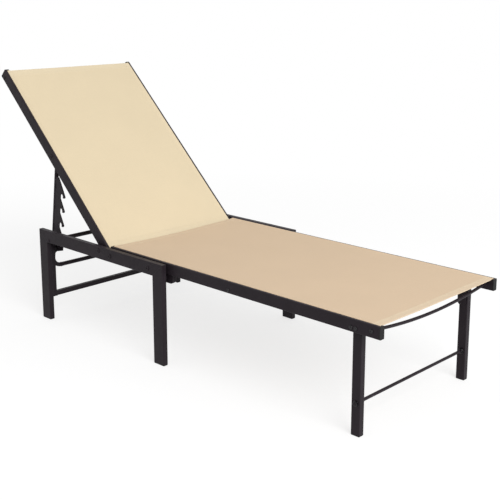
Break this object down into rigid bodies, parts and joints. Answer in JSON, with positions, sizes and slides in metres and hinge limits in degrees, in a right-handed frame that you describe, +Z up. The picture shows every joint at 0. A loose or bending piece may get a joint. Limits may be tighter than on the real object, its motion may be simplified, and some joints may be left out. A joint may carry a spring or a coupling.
{
  "type": "sun lounger",
  "caption": "Low sun lounger with charcoal side frames, a sand-coloured sling seat and a sling back that reclines on a hooked ratchet prop.",
  "frame": {"origin": "on the ground under the middle of the bounding box", "axes": "+X towards the foot end, +Y towards the far side frame of the picture, +Z up"},
  "size_m": [1.8222, 0.669, 0.9341],
  "materials": {
    "frame_paint": "fine textured charcoal powder coat, satin",
    "back_cloth": "open-weave coated mesh cloth, sand, matt",
    "seat_cloth": "open-weave coated mesh cloth, sand, matt",
    "black_plastic": "moulded, fine matt",
    "bolt_steel": "black zinc-plated, satin"
  },
  "bodies": {
    "root": {"side_rear_leg_near": "frame_paint", "side_rear_leg_far": "frame_paint", "side_middle_leg_near": "frame_paint", "side_middle_leg_far": "frame_paint", "side_top_rail_near": "frame_paint", "side_top_rail_far": "frame_paint", "side_feet": "black_plastic", "seat_rail_near": "frame_paint", "seat_rail_far": "frame_paint", "seat_rear_crossbar": "frame_paint", "seat_middle_crossbar": "frame_paint", "seat_crossbar_screws": "bolt_steel", "seat_rail_caps": "black_plastic", "seat_sling": "seat_cloth", "seat_splines": "black_plastic", "foot_bar": "frame_paint", "foot_bar_bolts": "bolt_steel", "front_leg_near": "frame_paint", "front_leg_far": "frame_paint", "front_leg_brackets": "frame_paint", "front_leg_bolts": "bolt_steel", "front_leg_rod": "frame_paint", "front_rod_nuts": "bolt_steel", "front_feet": "black_plastic", "rear_stretcher": "frame_paint", "rear_uprights": "frame_paint", "brace_bolts": "bolt_steel", "ratchet_bar": "frame_paint", "ratchet_bar_bolts": "frame_paint", "saddle_brackets": "frame_paint", "saddle_bolts": "bolt_steel", "frame_spacers": "black_plastic", "frame_bolts": "frame_paint", "hinge_bolts": "frame_paint", "hinge_nuts": "bolt_steel", "hinge_spacers": "black_plastic"},
    "back": {"back_rail_near": "frame_paint", "back_rail_far": "frame_paint", "back_top_crossbar": "frame_paint", "back_lower_crossbar": "frame_paint", "back_crossbar_screws": "bolt_steel", "back_rail_caps": "black_plastic", "back_sling": "back_cloth", "back_splines": "black_plastic", "hinge_bushes": "black_plastic", "prop_pivot_bolts": "frame_paint"},
    "prop": {"prop_leg_near": "frame_paint", "prop_leg_far": "frame_paint", "prop_cross_bar": "frame_paint", "ratchet_plate_near": "frame_paint", "ratchet_plate_far": "frame_paint", "prop_pivot_nuts": "bolt_steel"}
  },
  "joints": [
    {"name": "back_recline", "type": "hinge", "parent": "root", "child": "back", "pos_m": [-0.2891, 0, 0.335], "axis": [0, -1, 0], "range_deg": [0, 42.6]},
    {"name": "prop_fold", "type": "hinge", "parent": "root", "child": "prop", "pos_m": [-0.5966, 0, 0.3115], "axis": [0, -1, 0], "range_deg": [0, 92]}
  ],
  "couplings": [
    {"joint": "prop_fold", "follows": "back_recline", "ratio": 2.15}
  ]
}
